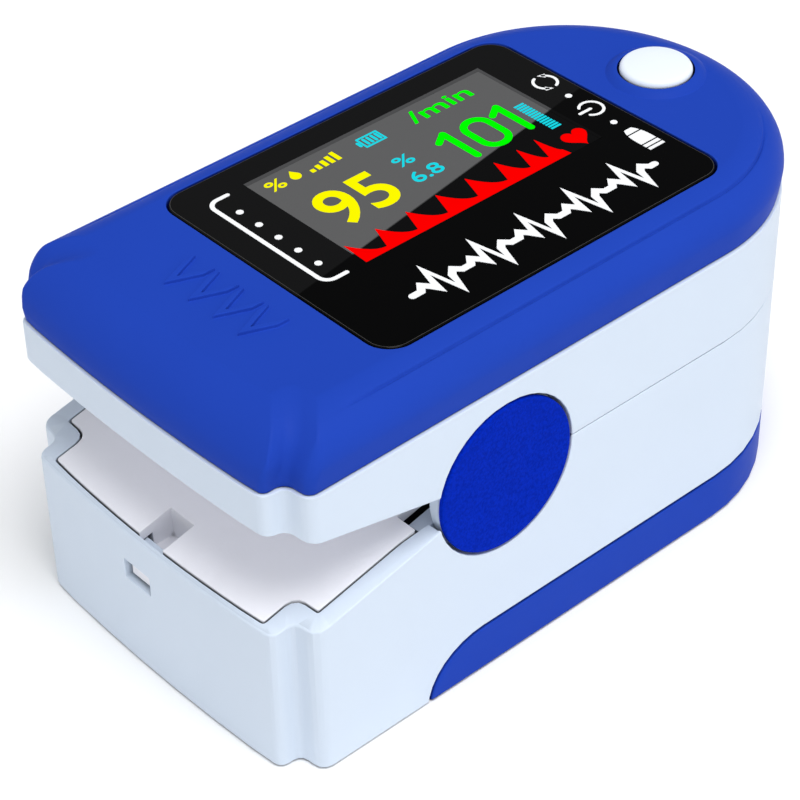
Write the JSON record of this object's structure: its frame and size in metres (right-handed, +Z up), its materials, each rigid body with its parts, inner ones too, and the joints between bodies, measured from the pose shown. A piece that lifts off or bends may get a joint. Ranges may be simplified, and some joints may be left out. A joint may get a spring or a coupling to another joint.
{
  "type": "fingertip pulse oximeter",
  "caption": "Finger clip medical sensor: hinged two-part housing with a finger chamber, a display window, a round button and a sliding battery cover.",
  "frame": {"origin": "middle of the footprint, on the surface that the oximeter rests on", "axes": "+Z up through the display, +Y along the length towards the finger opening, +X along the hinge axis"},
  "size_m": [0.0322, 0.0584, 0.0314],
  "materials": {
    "blue_cover": "royal blue ABS with a soft satin gloss",
    "white_shell": "cool white ABS, fine satin texture",
    "insert": "off-white ABS, matt",
    "finger_pad": "soft grey silicone rubber",
    "window": "black printed acrylic, polished",
    "display": "dark display panel",
    "hinge_cap": "deep blue, fine grained",
    "button": "white, smooth satin gloss",
    "circuit_board": "green solder mask",
    "chip": "black moulded package",
    "lens": "clear moulded optic",
    "cell_wrap": "plain printed sleeve",
    "steel": "nickel plated spring steel"
  },
  "bodies": {
    "lower_half": {"lower_shell": "white_shell", "lower_insert": "insert", "lower_finger_pad": "finger_pad", "detector_board": "circuit_board", "detector_lens": "lens", "battery_left": "cell_wrap", "battery_right": "cell_wrap", "contact_plate_positive": "steel", "contact_plate_negative": "steel", "contact_bridge": "steel", "cell_spring_front": "steel", "hinge_drum_left": "white_shell", "hinge_drum_right": "white_shell", "hinge_cap_left": "hinge_cap", "hinge_cap_right": "hinge_cap", "hinge_pin_left": "steel", "hinge_pin_right": "steel", "torsion_spring_left": "steel", "torsion_spring_right": "steel"},
    "upper_half": {"top_cover": "blue_cover", "display_window": "window", "display_module": "display", "display_frame": "insert", "main_board": "circuit_board", "controller_chip": "chip", "signal_chip": "chip", "board_screw_1": "steel", "board_screw_2": "steel", "board_screw_3": "steel", "board_screw_4": "steel", "switch_body": "chip", "upper_shell": "white_shell", "upper_insert": "insert", "upper_finger_pad": "finger_pad", "emitter_board": "circuit_board", "emitter_lens": "lens"},
    "button": {"power_button": "button", "switch_plunger": "button"},
    "bay_cover": {"battery_cover": "blue_cover"}
  },
  "joints": [
    {"name": "clip_hinge", "type": "hinge", "parent": "lower_half", "child": "upper_half", "pos_m": [0, -0.0087, 0.01744], "axis": [1, 0, 0], "range_deg": [0, 24], "stiffness_Nm_per_rad": 0.15, "springref_deg": -20.05, "deforming": ["torsion_spring_left", "torsion_spring_right"]},
    {"name": "button_press", "type": "slide", "parent": "upper_half", "child": "button", "axis": [0, 0, -1], "range_m": [0, 0.00025], "stiffness_N_per_m": 600, "springref_m": -0.0002},
    {"name": "battery_cover_slide", "type": "slide", "parent": "lower_half", "child": "bay_cover", "axis": [0, 1, 0], "range_m": [0, 0.044]}
  ]
}
